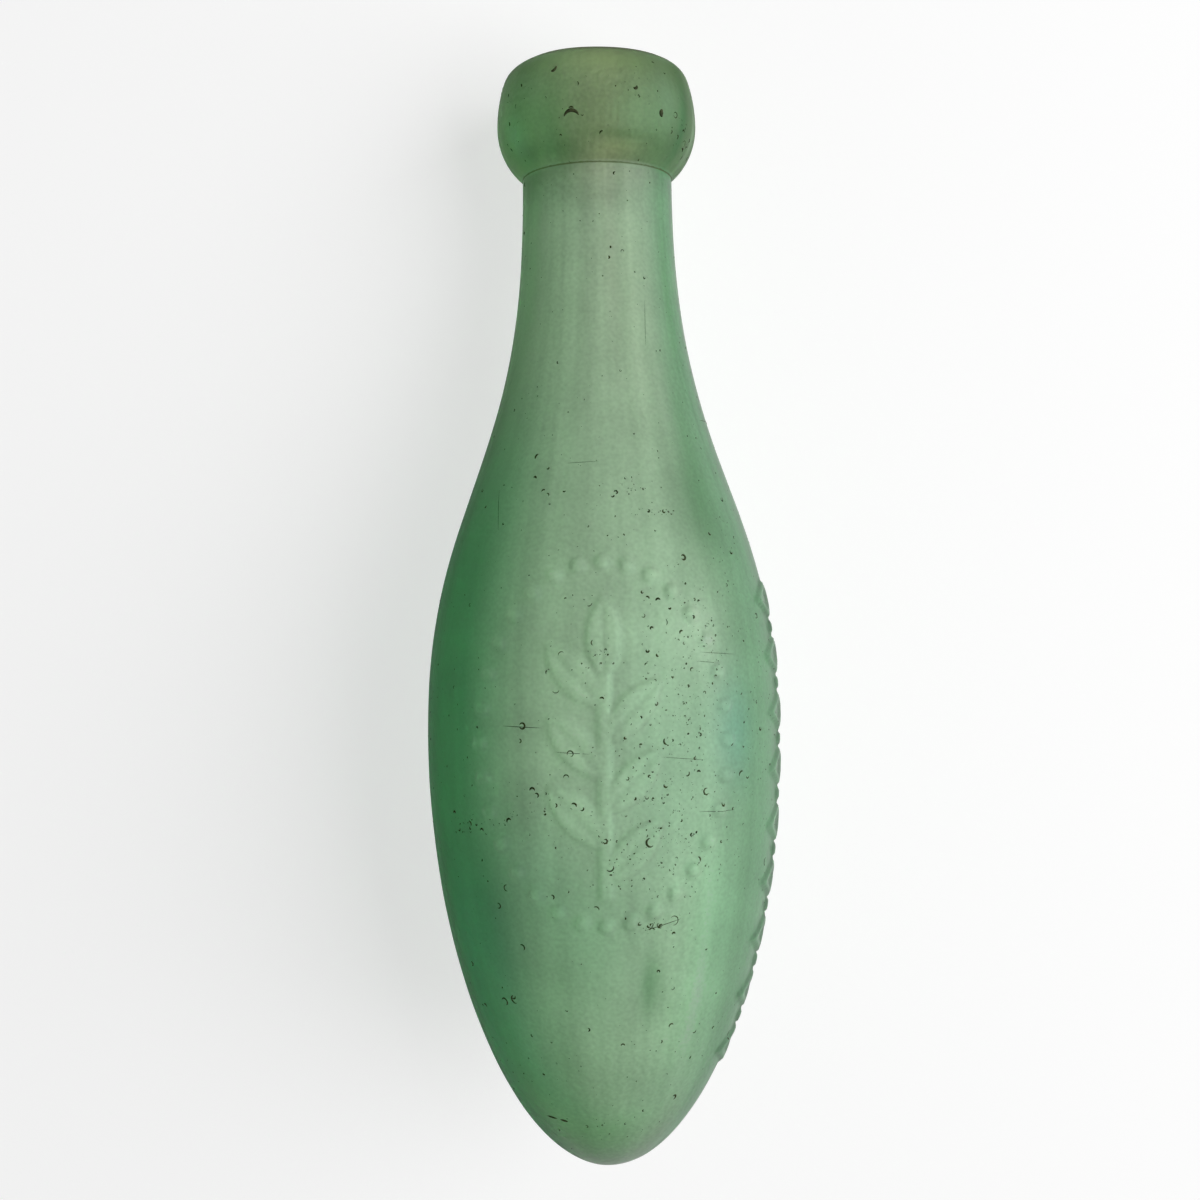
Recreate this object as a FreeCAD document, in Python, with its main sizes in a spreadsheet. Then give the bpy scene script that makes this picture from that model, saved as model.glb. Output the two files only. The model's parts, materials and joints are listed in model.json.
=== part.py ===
"""An egg-ended soda bottle with an applied lip, lying on its side as it comes to rest.

The bottle is one piece of thick glass: a blown body with a blunt point in place of a foot, a long neck,
a collar of glass laid round the mouth, a cork seat, and raised ornament from the mould.
It is drawn standing on its point, with its axis on Z, its front towards -Y and its mouth up, and is then
laid down as a table would hold it, front up, with the mouth towards +Y.
"""

import FreeCAD
import Part

import math
import os

import Sketcher
from FreeCAD import Placement, Rotation, Vector

NODE = "bottle"

# Driving dimensions, in millimetres, degrees and counts
SIZES = {
    # Outside of the blown glass
    "overall_length": 225.0,
    "girth_radius": 36.2,
    "girth_height": 87.9,
    "nose_fullness": 18.8,
    "flank_fullness": 46.4,
    "neck_radius": 15.4,
    "neck_straightness": 63.0,
    # Applied lip
    "lip_height": 22.9,
    "lip_radius": 20.5,
    "lip_widest_height": 10.5,
    "lip_side_radius": 28.0,
    "lip_shoulder_radius": 5.2,
    # Inside: the glass is thicker at the back, because the bubble sat off its centre in the mould
    "wall": 5.0,
    "tip_glass": 13.0,
    "bore_radius": 9.3,
    "cork_seat_length": 26.0,
    "throat_taper": 6.0,
    "mouth_edge_radius": 1.5,
    "inside_lean": 0.3,
    # Ornament raised by the mould
    "relief_height": 0.6,
    "relief_root": 1.0,
    "medallion_height": 89.0,
    "sprig_height": 58.0,
    "stem_width": 2.4,
    "leaf_length": 16.0,
    "leaf_width": 6.4,
    "leaf_rise": 48.0,
    "leaf_pairs": 3,
    "leaf_spacing": 13.0,
    "oval_half_width": 23.5,
    "oval_half_height": 34.0,
    "oval_beads": 32,
    "bead_radius": 1.3,
    "border_turn": 77.0,
    "border_start": 26.0,
    "border_spacing": 11.2,
    "border_lozenges": 9,
    "lozenge_across": 15.0,
    "lozenge_along": 7.6,
    "lozenge_stroke": 1.7,
}

# Sketch geometry numbers: the sketch's own origin, and the start, end and centre of a curve
SKETCH_ORIGIN = -1
START, END, CENTRE = range(1, 4)

doc = FreeCAD.newDocument("soda_bottle")
sheet = doc.addObject("Spreadsheet::Sheet", "sizes")
for row, (alias, size) in enumerate(SIZES.items(), start=1):
    sheet.set(f"A{row}", alias)
    sheet.set(f"B{row}", str(size))
    sheet.setAlias(f"B{row}", alias)
doc.recompute()

# Formulas on the sheet that several sketches share
NECK_TOP = "(sizes.overall_length - sizes.lip_height)"
LIP_WIDEST = f"({NECK_TOP} + sizes.lip_widest_height)"
SEAT_BOTTOM = "(sizes.overall_length - sizes.cork_seat_length)"


def value(formula):
    """The number that a formula on the sheet gives now."""
    found = sheet.evalExpression(formula)
    return float(getattr(found, "Value", found))


def at(point):
    """A point of a sketch, from its pair of formulas."""
    return Vector(value(point[0]), value(point[1]), 0)


def new_body(name):
    body = doc.addObject("PartDesign::Body", name)
    body.AllowCompound = True
    return body


def origin_feature(body, role):
    """One of the body's own planes or axes."""
    return next(f for f in body.Origin.OriginFeatures if f.Role == role)


def new_sketch(body, name, role="XZ_Plane"):
    """A sketch on one of the body's upright planes: its second axis runs up the bottle."""
    sketch = body.newObject("Sketcher::SketchObject", name)
    sketch.AttachmentSupport = [(origin_feature(body, role), "")]
    sketch.MapMode = "FlatFace"
    return sketch


def bind(sketch, kind, formula, *where):
    """A dimension of the sketch whose size is a formula on the sheet."""
    index = sketch.addConstraint(Sketcher.Constraint(kind, *where, value(formula)))
    sketch.setExpression(f"Constraints[{index}]", formula)


def hold(sketch, geometry, end, point):
    """Holds one end or centre of a piece of geometry at a pair of formulas."""
    bind(sketch, "DistanceX", point[0], SKETCH_ORIGIN, START, geometry, end)
    bind(sketch, "DistanceY", point[1], SKETCH_ORIGIN, START, geometry, end)


def follow(sketch, first, second, kind="Coincident"):
    """Makes the end of one edge the start of the next, with a corner or, as Tangent, without."""
    sketch.addConstraint(Sketcher.Constraint(kind, first, END, second, START))


def polyline(sketch, corners):
    """Straight edges through a list of corners."""
    for start, end in zip(corners, corners[1:]):
        edge = sketch.addGeometry(Part.LineSegment(at(start), at(end)))
        hold(sketch, edge, START, start)
        hold(sketch, edge, END, end)


def arc(sketch, centre, radius, start, end):
    """An arc drawn about where it belongs: the sketch's own rules then settle it."""
    circle = Part.Circle(centre, Vector(0, 0, 1), radius)
    return sketch.addGeometry(Part.ArcOfCircle(circle, start, end))


def curve(sketch, poles):
    """A cubic curve from the first pole to the last, which leaves and arrives towards the two between."""
    points = [at(pole) for pole in poles]
    edge = sketch.addGeometry(Part.BSplineCurve(points, None, None, False, 3, None, False))
    for number, (pole, point) in enumerate(zip(poles, points)):
        handle = sketch.addGeometry(Part.Circle(point, Vector(0, 0, 1), 1), True)
        sketch.addConstraint(
            Sketcher.Constraint(
                "InternalAlignment:Sketcher::BSplineControlPoint", handle, CENTRE, edge, number
            )
        )
        sketch.addConstraint(Sketcher.Constraint("Weight", handle, 1.0))
        hold(sketch, handle, CENTRE, pole)


def turn(body, sketch, name, kind="PartDesign::Revolution"):
    """Turns a closed half section right round the sketch's upright axis."""
    feature = body.newObject(kind, name)
    feature.Profile = sketch
    feature.ReferenceAxis = (sketch, ["V_Axis"])
    feature.Angle = 360
    return feature


def egg_and_neck(sketch, tip, inset, neck_top, flank, straightness):
    """The flowing half outline from the tip on the axis, round the girth, to the top of the neck.

    Two cubic curves meet at the girth. The handle above it follows from the one below it, so that
    the outline bends by the same amount on both sides of the girth and shows no break in a highlight.
    An inset draws it further in, as for the inside of the wall.
    """
    nose = f"(sizes.nose_fullness - {inset})"
    girth = f"(sizes.girth_radius - {inset})"
    neck = f"(sizes.neck_radius - {inset})"
    widest = "sizes.girth_height"
    above = f"({flank}) * sqrt(({girth} - {neck}) / ({girth} - {nose}))"
    curve(sketch, [("0", tip), (nose, tip), (girth, f"{widest} - {flank}"), (girth, widest)])
    curve(
        sketch,
        [
            (girth, widest),
            (girth, f"{widest} + {above}"),
            (neck, f"{neck_top} - ({straightness})"),
            (neck, neck_top),
        ],
    )


def outer_outline(sketch, inset="0"):
    """The outside of the blown glass, or a skin that lies a little way inside or outside it."""
    egg_and_neck(sketch, inset, inset, NECK_TOP, "sizes.flank_fullness", "sizes.neck_straightness")
    polyline(sketch, [(f"(sizes.neck_radius - {inset})", NECK_TOP), ("0", NECK_TOP), ("0", inset)])


def lip_outline(sketch):
    """The lip's half section: a full lower curl, a flatter side, a round shoulder and a flat top."""
    under = ("sizes.neck_radius", NECK_TOP)
    widest = ("sizes.lip_radius", LIP_WIDEST)
    top = "sizes.overall_length"

    overhang = value("sizes.lip_radius - sizes.neck_radius")
    curl_height = value("sizes.lip_widest_height")
    curl_radius = (overhang**2 + curl_height**2) / (2 * overhang)
    curl_centre = at(widest) - Vector(curl_radius, 0, 0)
    curl_start = math.atan2(-curl_height, curl_radius - overhang)
    side_radius = value("sizes.lip_side_radius")
    side_centre = at(widest) - Vector(side_radius, 0, 0)
    shoulder_radius = value("sizes.lip_shoulder_radius")
    shoulder_rise = value(f"{top} - sizes.lip_shoulder_radius - {LIP_WIDEST}")
    climb = math.asin(shoulder_rise / (side_radius - shoulder_radius))
    shoulder_out = (side_radius - shoulder_radius) * math.cos(climb)
    shoulder_centre = side_centre + Vector(shoulder_out, shoulder_rise, 0)

    curl = arc(sketch, curl_centre, curl_radius, curl_start, 0)
    side = arc(sketch, side_centre, side_radius, 0, climb)
    shoulder = arc(sketch, shoulder_centre, shoulder_radius, climb, math.pi / 2)
    flat = sketch.addGeometry(
        Part.LineSegment(shoulder_centre + Vector(0, shoulder_radius, 0), at(("0", top)))
    )
    hold(sketch, curl, START, under)
    hold(sketch, curl, END, widest)
    bind(sketch, "DistanceY", LIP_WIDEST, SKETCH_ORIGIN, START, curl, CENTRE)
    follow(sketch, curl, side)
    bind(sketch, "DistanceY", LIP_WIDEST, SKETCH_ORIGIN, START, side, CENTRE)
    bind(sketch, "Radius", "sizes.lip_side_radius", side)
    follow(sketch, side, shoulder, "Tangent")
    bind(sketch, "Radius", "sizes.lip_shoulder_radius", shoulder)
    follow(sketch, shoulder, flat, "Tangent")
    hold(sketch, flat, END, ("0", top))
    polyline(sketch, [("0", top), ("0", NECK_TOP), under])


def inside_outline(sketch):
    """The space inside: an egg under a long neck, a short taper, and a straight seat for the cork."""
    throat_top = f"({SEAT_BOTTOM} - sizes.throat_taper)"
    shrink = "((sizes.girth_height - sizes.tip_glass) / sizes.girth_height)"
    straightness = f"sizes.neck_straightness - ({NECK_TOP} - {throat_top})"
    flank = f"(sizes.flank_fullness * {shrink})"
    egg_and_neck(sketch, "sizes.tip_glass", "sizes.wall", throat_top, flank, straightness)
    clear_of_mouth = "(sizes.overall_length + sizes.mouth_edge_radius)"
    polyline(
        sketch,
        [
            ("(sizes.neck_radius - sizes.wall)", throat_top),
            ("sizes.bore_radius", SEAT_BOTTOM),
            ("sizes.bore_radius", clear_of_mouth),
            ("0", clear_of_mouth),
            ("0", "sizes.tip_glass"),
        ],
    )


def lean_about_mouth(sketch):
    """Leans the sketch about the middle of the mouth, so that the inside drifts towards the front."""
    sketch.setExpression("AttachmentOffset.Rotation.Angle", "0 - sizes.inside_lean")
    sketch.setExpression(
        "AttachmentOffset.Base.x", "0 - sizes.overall_length * sin(sizes.inside_lean)"
    )
    sketch.setExpression(
        "AttachmentOffset.Base.y", "sizes.overall_length * (1 - cos(sizes.inside_lean))"
    )


def mouth_edge(shape):
    """The name of the round edge where the bore meets the flat top of the lip."""
    top = value("sizes.overall_length")
    bore = value("sizes.bore_radius")
    for number, edge in enumerate(shape.Edges, start=1):
        box = edge.BoundBox
        level = abs(box.ZMin - top) < 0.01 and abs(box.ZMax - top) < 0.01
        if level and abs(box.XLength / 2 - bore) < 0.1:
            return f"Edge{number}"
    raise RuntimeError("the mouth has no edge")


# The blown glass with its lip and its inside
def make_glass():
    body = new_body("plain_glass")
    outline = new_sketch(body, "glass_outline")
    outer_outline(outline)
    turn(body, outline, "egg_and_neck")

    section = new_sketch(body, "lip_section")
    lip_outline(section)
    turn(body, section, "applied_lip")

    hollow = new_sketch(body, "inside_section", "YZ_Plane")
    inside_outline(hollow)
    lean_about_mouth(hollow)
    doc.recompute()
    solid_volume = body.Shape.Volume
    cut = turn(body, hollow, "inside", "PartDesign::Groove")
    doc.recompute()
    if body.Shape.Volume > 0.9 * solid_volume:
        raise RuntimeError("the inside cuts nothing")

    edge = body.newObject("PartDesign::Fillet", "mouth_edge")
    edge.Base = (cut, [mouth_edge(cut.Shape)])
    edge.setExpression("Radius", "sizes.mouth_edge_radius")
    doc.recompute()
    print("capacity to the brim, ml:", round((solid_volume - body.Shape.Volume) / 1000, 1))
    return body


# The raised ornament: prisms of its outlines, kept only where they pass through a thin skin
def leaf_outline(sketch, foot, rise):
    """A leaf of two equal arcs, from its foot to its point, rising at an angle to the level."""
    point = (
        f"{foot[0]} + sizes.leaf_length * cos({rise})",
        f"{foot[1]} + sizes.leaf_length * sin({rise})",
    )
    length = value("sizes.leaf_length")
    width = value("sizes.leaf_width")
    radius = (length**2 + width**2) / (4 * width)
    radius_formula = "(sizes.leaf_length ^ 2 + sizes.leaf_width ^ 2) / (4 * sizes.leaf_width)"
    along = (at(point) - at(foot)) / length
    across = Vector(-along.y, along.x, 0)
    middle = (at(point) + at(foot)) / 2
    to_centre = across * (radius - width / 2)
    heading = math.atan2(across.y, across.x)
    half_turn = math.asin(length / (2 * radius))
    back = heading + math.pi
    right = arc(sketch, middle + to_centre, radius, back - half_turn, back + half_turn)
    left = arc(sketch, middle - to_centre, radius, heading - half_turn, heading + half_turn)
    hold(sketch, right, START, foot)
    hold(sketch, right, END, point)
    bind(sketch, "Radius", radius_formula, right)
    follow(sketch, right, left)
    follow(sketch, left, right)
    bind(sketch, "Radius", radius_formula, left)


def bead_outline(sketch, centre):
    bead = sketch.addGeometry(Part.Circle(at(centre), Vector(0, 0, 1), value("sizes.bead_radius")))
    hold(sketch, bead, CENTRE, centre)
    bind(sketch, "Radius", "sizes.bead_radius", bead)


def lozenge_outline(sketch, height, inset="0"):
    """A lozenge about the upright axis, or the one inside it that leaves a frame of even stroke."""
    across = "(sizes.lozenge_across / 2)"
    along = "(sizes.lozenge_along / 2)"
    shrink = f"(1 - {inset} * sqrt({across} ^ 2 + {along} ^ 2) / ({across} * {along}))"
    side = f"{across} * {shrink}"
    rise = f"{along} * {shrink}"
    polyline(
        sketch,
        [
            ("0", f"{height} - {rise}"),
            (side, height),
            ("0", f"{height} + {rise}"),
            (f"0 - {side}", height),
            ("0", f"{height} - {rise}"),
        ],
    )


def prism(body, sketch, name):
    """Carries an outline straight out from the axis, past the glass."""
    pad = body.newObject("PartDesign::Pad", name)
    pad.Profile = sketch
    pad.setExpression("Length", "sizes.girth_radius + 2 * sizes.relief_height")
    return pad


def repeat_upwards(body, feature, name, spacing, count):
    """Repeats a prism up the bottle."""
    pattern = body.newObject("PartDesign::LinearPattern", name)
    pattern.Originals = [feature]
    pattern.Direction = (origin_feature(body, "Z_Axis"), [""])
    pattern.setExpression("Length", f"{spacing} * ({count} - 1)")
    pattern.setExpression("Occurrences", count)
    body.Tip = pattern


def make_medallion():
    """A leafy sprig inside an oval of beads, on the front."""
    body = new_body("medallion")
    foot = "(sizes.medallion_height - sizes.sprig_height / 2)"
    stem_top = f"({foot} + sizes.sprig_height - sizes.leaf_length)"
    half = "(sizes.stem_width / 2)"

    stem = new_sketch(body, "stem_outline")
    polyline(
        stem,
        [
            (f"0 - {half}", foot),
            (half, foot),
            (half, stem_top),
            (f"0 - {half}", stem_top),
            (f"0 - {half}", foot),
        ],
    )
    prism(body, stem, "stem")

    bud = new_sketch(body, "bud_outline")
    leaf_outline(bud, ("0", f"{stem_top} - {half}"), "90")
    prism(body, bud, "bud")

    for side, rise, start in (
        ("right", "sizes.leaf_rise", "0.25"),
        ("left", "(180 - sizes.leaf_rise)", "0.75"),
    ):
        leaf = new_sketch(body, f"{side}_leaf_outline")
        leaf_outline(leaf, ("0", f"({foot} + {start} * sizes.leaf_spacing)"), rise)
        first = prism(body, leaf, f"{side}_leaf")
        repeat_upwards(body, first, f"{side}_leaves", "sizes.leaf_spacing", "sizes.leaf_pairs")

    oval = new_sketch(body, "oval_outline")
    for number in range(int(SIZES["oval_beads"])):
        bearing = f"({number} * 360 / sizes.oval_beads)"
        bead_outline(
            oval,
            (
                f"sizes.oval_half_width * cos({bearing})",
                f"sizes.medallion_height + sizes.oval_half_height * sin({bearing})",
            ),
        )
    prism(body, oval, "oval")
    return body


def make_border():
    """A column of open lozenges with beads between them, up the bottle's right side."""
    body = new_body("border")
    lozenge = new_sketch(body, "lozenge_outline")
    lozenge_outline(lozenge, "sizes.border_start")
    lozenge_outline(lozenge, "sizes.border_start", "sizes.lozenge_stroke")
    first = prism(body, lozenge, "lozenge")
    repeat_upwards(body, first, "lozenges", "sizes.border_spacing", "sizes.border_lozenges")

    bead = new_sketch(body, "border_bead_outline")
    bead_outline(bead, ("0", "sizes.border_start + sizes.border_spacing / 2"))
    first = prism(body, bead, "border_bead")
    gaps = "sizes.border_lozenges - 1"
    repeat_upwards(body, first, "border_beads", "sizes.border_spacing", gaps)

    body.setExpression("Placement.Rotation.Angle", "sizes.border_turn")
    return body


def make_skin():
    """The thin layer that the ornament fills, from just inside the glass to its raised faces."""
    body = new_body("relief_skin")
    outside = new_sketch(body, "skin_outside")
    outer_outline(outside, "(0 - sizes.relief_height)")
    turn(body, outside, "skin")
    inner_side = new_sketch(body, "skin_inner_side")
    outer_outline(inner_side, "sizes.relief_root")
    turn(body, inner_side, "skin_hollow", "PartDesign::Groove")
    return body


def combine(kind, name, base, tool):
    """One of the plain booleans on two solids."""
    feature = doc.addObject(kind, name)
    feature.Base = base
    feature.Tool = tool
    return feature


def make_bottle():
    ornament = combine("Part::Fuse", "ornament_prisms", make_medallion(), make_border())
    relief = combine("Part::Common", "relief", make_skin(), ornament)
    bottle = combine("Part::Fuse", NODE, make_glass(), relief)
    bottle.Label = NODE
    doc.recompute()
    return bottle


# How it lies: on the girth and the lip together, its back down
def outline_points(shape):
    """Points along the outside of a body of revolution, as radius and height pairs."""
    far = 2 * value("sizes.overall_length")
    corners = [Vector(0, 0, -far), Vector(far, 0, -far), Vector(far, 0, far), Vector(0, 0, far)]
    half_plane = Part.Face(Part.makePolygon(corners + corners[:1]))
    section = shape.common(half_plane)
    return [(point.x, point.z) for edge in section.Edges for point in edge.discretize(400)]


def reach(points, lean):
    """How far the outline reaches below the axis when the mouth leans down by some degrees."""
    angle = math.radians(lean)
    return max(radius * math.cos(angle) + height * math.sin(angle) for radius, height in points)


def resting_lean(glass):
    """The lean at which the centre of mass is lowest, found by narrowing in on it."""
    points = outline_points(glass)
    centre = glass.CenterOfMass

    def centre_height(lean):
        angle = math.radians(lean)
        return reach(points, lean) - centre.y * math.cos(angle) - centre.z * math.sin(angle)

    level, steep = -30.0, 30.0
    while steep - level > 1e-6:
        third = (steep - level) / 3
        if centre_height(level + third) < centre_height(steep - third):
            steep -= third
        else:
            level += third
    return (level + steep) / 2


def lay_down(bottle, lean):
    """Turns the bottle onto its back and stands its box on the middle of the table."""
    turned = Rotation(Vector(1, 0, 0), -90 - lean)
    bottle.Placement = Placement(Vector(0, 0, 0), turned)
    box = bottle.Shape.optimalBoundingBox(False)
    bottle.Placement = Placement(Vector(-box.Center.x, -box.Center.y, -box.ZMin), turned)


def check_document():
    """Stops if any object failed or the finished shape isn't one sound solid."""
    for item in doc.Objects:
        if "Invalid" in item.State or "Error" in item.State:
            raise RuntimeError(f"{item.Label} failed: {item.State}")
    for item in (bottle,):
        if item.Shape.isNull() or not item.Shape.isValid() or len(item.Shape.Solids) != 1:
            raise RuntimeError(f"{item.Label} isn't one sound solid")


bottle = make_bottle()
glass_solid = doc.getObject("plain_glass").Shape.Solids[0]
resting = resting_lean(glass_solid)
lay_down(bottle, resting)
check_document()
print("lean of the axis at rest, degrees:", round(resting, 3))
print("place of the tip:", bottle.Placement.Base)
print("volume of glass, cm3:", round(bottle.Shape.Volume / 1000, 2))

os.makedirs("parts", exist_ok=True)
bottle.Shape.exportStep(f"parts/{bottle.Label}.step")
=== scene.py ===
# %% [markdown]
# # An egg-ended soda bottle in hazed green glass
# The bottle can't stand: it has a blunt point in place of a foot, so it lies on its girth and its lip,
# and the camera looks straight down on its front. It was blown into a mould from one gather of glass,
# then a collar of glass was laid round the mouth and shaped with a lipping tool.
# Everything that shows is one closed skin, outside and inside, made as one grid of points.

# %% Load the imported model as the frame
import json
import math

import bpy
import numpy as np
from mathutils import Matrix, Vector

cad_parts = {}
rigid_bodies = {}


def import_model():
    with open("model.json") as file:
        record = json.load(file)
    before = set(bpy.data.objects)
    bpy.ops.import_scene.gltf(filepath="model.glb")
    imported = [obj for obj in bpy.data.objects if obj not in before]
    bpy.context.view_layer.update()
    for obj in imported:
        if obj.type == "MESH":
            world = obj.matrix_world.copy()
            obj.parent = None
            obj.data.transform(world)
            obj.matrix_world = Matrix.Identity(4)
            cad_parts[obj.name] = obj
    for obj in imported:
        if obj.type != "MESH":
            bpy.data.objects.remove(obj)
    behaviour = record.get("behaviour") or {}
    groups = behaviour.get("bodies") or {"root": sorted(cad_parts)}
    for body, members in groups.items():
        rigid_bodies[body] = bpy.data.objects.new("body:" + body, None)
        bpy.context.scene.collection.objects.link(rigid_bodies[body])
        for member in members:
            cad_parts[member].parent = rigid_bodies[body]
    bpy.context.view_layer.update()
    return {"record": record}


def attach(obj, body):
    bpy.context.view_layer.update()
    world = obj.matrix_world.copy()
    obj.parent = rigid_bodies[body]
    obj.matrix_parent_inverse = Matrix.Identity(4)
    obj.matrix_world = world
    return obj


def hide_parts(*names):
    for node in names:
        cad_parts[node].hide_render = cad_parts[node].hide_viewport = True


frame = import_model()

# %% [markdown]
# ## Where the bottle lies
# The record's mouth mount gives the bore's axis and a point on it. The bore leans a little off the
# outside's axis, because the bubble inside sits nearer the front. From these come the bottle's own axes:
# to the right, out of the front, and along towards the mouth. All shapes are drawn on those axes in
# millimetres, and are turned into the frame's metres at the end.

# %% The bottle's own axes
MM = 0.001
LENGTH = 225.0
SEAT_MIDDLE = 13.75
INSIDE_LEAN = math.radians(0.3)

mouth = frame["record"]["mounts"][0]
bore_axis = Vector(mouth["axis"]).normalized()
axis_drop = math.atan2(-bore_axis.z, bore_axis.y) - INSIDE_LEAN
RIGHT = Vector((1, 0, 0))
FRONT = Vector((0, math.sin(axis_drop), math.cos(axis_drop)))
ALONG = Vector((0, math.cos(axis_drop), -math.sin(axis_drop)))
TIP = Vector(mouth["pos_m"]) + bore_axis * SEAT_MIDDLE * MM - ALONG * LENGTH * MM
AXES = np.array([RIGHT, FRONT, ALONG])
print("axis drops towards the mouth by", round(math.degrees(axis_drop), 2), "degrees; tip at", TIP)


def in_frame(points):
    """Points in the bottle's own axes, in millimetres, to the frame's metres."""
    return points @ AXES * MM + np.array(TIP)


# %% [markdown]
# ## The camera
# In the photograph the girth's rim and the lip's rings curve as they do for a camera some 34 cm away,
# square to the bottle and level with a point just above its girth. The bottle also leans a little
# to the left in the picture, and its axis passes the picture's middle row a few pixels to the right.

# %% Camera
PICTURE_SIZE = 1200
CAMERA_AWAY_PX = 1650
CAMERA_AWAY = 340.0
CAMERA_STATION = 115.8
LEAN_IN_PICTURE = math.radians(0.72)
AXIS_AT_MIDDLE_PX = 602.3

px = CAMERA_AWAY / CAMERA_AWAY_PX
aside = (PICTURE_SIZE / 2 - AXIS_AT_MIDDLE_PX) * px
eye = TIP + (RIGHT * aside + FRONT * CAMERA_AWAY + ALONG * CAMERA_STATION) * MM
up = ALONG * math.cos(LEAN_IN_PICTURE) + RIGHT * math.sin(LEAN_IN_PICTURE)
to_the_right = up.cross(FRONT)


def add_object(name, data):
    """A new object in the scene that holds the given data."""
    made = bpy.data.objects.new(name, data)
    bpy.context.scene.collection.objects.link(made)
    return made


camera_data = bpy.data.cameras.new("camera")
camera_data.sensor_width = 36.0
camera_data.lens = camera_data.sensor_width * CAMERA_AWAY_PX / PICTURE_SIZE
camera = add_object("camera", camera_data)
camera.matrix_world = Matrix.Translation(eye) @ Matrix((to_the_right, up, FRONT)).transposed().to_4x4()
bpy.context.scene.camera = camera
print("lens, mm:", round(camera_data.lens, 2))


# %% From a place in the picture to a place on the bottle
def own_axes(vector):
    """A frame vector as right, out of the front, and along."""
    return AXES @ np.array(vector)


SEARCH_DEPTH, SEARCH_STEPS = 45.0, 900
EYE = own_axes(eye - TIP) / MM
PICTURE_RIGHT, PICTURE_UP = own_axes(to_the_right), own_axes(up)


def on_bottle(pixels):
    """Turn and height where the line of sight through each pixel first meets the plain outline.

    A line that misses the bottle is given the place where it comes nearest.
    """
    across, down = np.asarray(pixels, float).T
    middle = PICTURE_SIZE / 2
    sight = (across - middle)[:, None] * PICTURE_RIGHT + (middle - down)[:, None] * PICTURE_UP
    sight = sight / CAMERA_AWAY_PX + np.array([0, -1, 0])
    reach = np.linspace(CAMERA_AWAY - SEARCH_DEPTH, CAMERA_AWAY, SEARCH_STEPS)
    place = EYE + sight[:, None] * reach[None, :, None]
    gap = np.hypot(place[..., 0], place[..., 1]) - np.interp(place[..., 2], outside_height, outside_radius)
    first = np.where((gap < 0).any(axis=1), (gap < 0).argmax(axis=1), gap.argmin(axis=1))
    x, out, height = place[np.arange(len(first)), first].T
    return np.arctan2(x, out), height


# %% [markdown]
# ## The outline
# The outside of the blown glass is two cubic curves that meet at the girth with the same bend. The lip is
# three arcs: a full lower curl, a flatter side and a round shoulder. The inside follows the outside at
# the wall's thickness, with thick glass at the tip, and ends in a straight seat for the cork.
# Each stretch is worked out on its own count of rows, so that the rows lie close where there is ornament.

# %% Sizes of the outline, in millimetres
GIRTH_RADIUS = 36.2
GIRTH_HEIGHT = 87.9
NOSE_FULLNESS = 18.8
FLANK_FULLNESS = 46.4
NECK_RADIUS = 15.4
NECK_STRAIGHTNESS = 63.0
LIP_HEIGHT = 22.9
LIP_RADIUS = 20.5
LIP_WIDEST_HEIGHT = 10.5
LIP_SIDE_RADIUS = 28.0
LIP_SHOULDER_RADIUS = 5.2
WALL = 5.0
TIP_GLASS = 13.0
BORE_RADIUS = 9.3
CORK_SEAT_LENGTH = 26.0
THROAT_TAPER = 6.0
MOUTH_EDGE_RADIUS = 1.5
NECK_TOP = LENGTH - LIP_HEIGHT
CURL_ROWS, SIDE_ROWS, SHOULDER_ROWS = 18, 12, 10
FINE_STEPS = 2000


# %% Curves of the outline
def cubic(poles, steps):
    """A cubic curve: the sum of its four poles, each times its own share, which adds up to one."""
    t = np.asarray(steps)[:, None]
    a, b, c, d = np.array(poles, float)
    return (1 - t) ** 3 * a + 3 * (1 - t) ** 2 * t * b + 3 * (1 - t) * t**2 * c + t**3 * d


def bow(centre, radius, start, end, count):
    """An arc: its centre plus the radius times the cosine and sine of an angle that runs evenly."""
    angle = np.linspace(start, end, count)[:, None]
    return np.array(centre) + radius * np.hstack([np.cos(angle), np.sin(angle)])


def straight(start, end, count):
    """Evenly spaced points from one end to the other."""
    share = np.linspace(0, 1, count)[:, None]
    return (1 - share) * np.array(start) + share * np.array(end)


def egg_and_neck(tip, inset, neck_top, flank, straightness):
    """Both cubic curves, finely: the handle above the girth gives it the same bend on both sides."""
    nose, girth, neck = NOSE_FULLNESS - inset, GIRTH_RADIUS - inset, NECK_RADIUS - inset
    above = flank * math.sqrt((girth - neck) / (girth - nose))
    fine = np.linspace(0, 1, FINE_STEPS)
    low = [(0, tip), (nose, tip), (girth, GIRTH_HEIGHT - flank), (girth, GIRTH_HEIGHT)]
    high = [(girth, GIRTH_HEIGHT), (girth, GIRTH_HEIGHT + above)]
    high += [(neck, neck_top - straightness), (neck, neck_top)]
    return np.vstack([cubic(low, fine), cubic(high, fine)[1:]])


def spread(points, stops, steps):
    """Rows along a curve, each stretch between two heights with its own spacing along the curve."""
    length = np.concatenate([[0], np.cumsum(np.hypot(*np.diff(points, axis=0).T))])
    marks = np.interp(stops, points[:, 1], length)
    rows = [
        np.linspace(start, end, max(2, round((end - start) / step)), endpoint=False)
        for start, end, step in zip(marks, marks[1:], steps)
    ]
    where = np.append(np.concatenate(rows), marks[-1])
    return np.stack([np.interp(where, length, points[:, axis]) for axis in (0, 1)], axis=1)


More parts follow.
